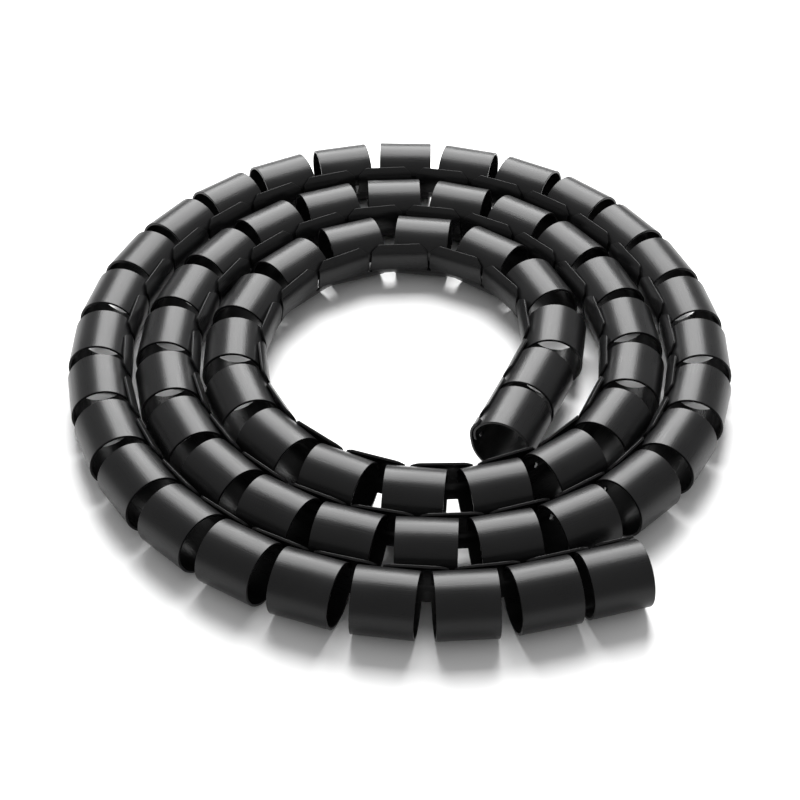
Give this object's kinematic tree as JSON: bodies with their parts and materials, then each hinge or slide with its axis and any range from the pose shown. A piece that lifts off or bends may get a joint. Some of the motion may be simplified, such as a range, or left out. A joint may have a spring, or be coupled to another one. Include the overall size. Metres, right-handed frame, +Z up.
{
  "type": "spiral cable wrap",
  "caption": "Black plastic spiral cable wrap, a slotted snap-over sleeve of linked rings, laid down as an open flat coil.",
  "frame": {"origin": "middle of the coil's outline, on the surface it rests on", "axes": "+Z up along the coil's own axis; -Y towards the front of the picture, where the outer end lies; +X to the right"},
  "size_m": [0.2404, 0.2656, 0.0219],
  "materials": {
    "black_plastic": "satin"
  },
  "bodies": {
    "root": {"spiral_wrap": "black_plastic"}
  },
  "joints": []
}
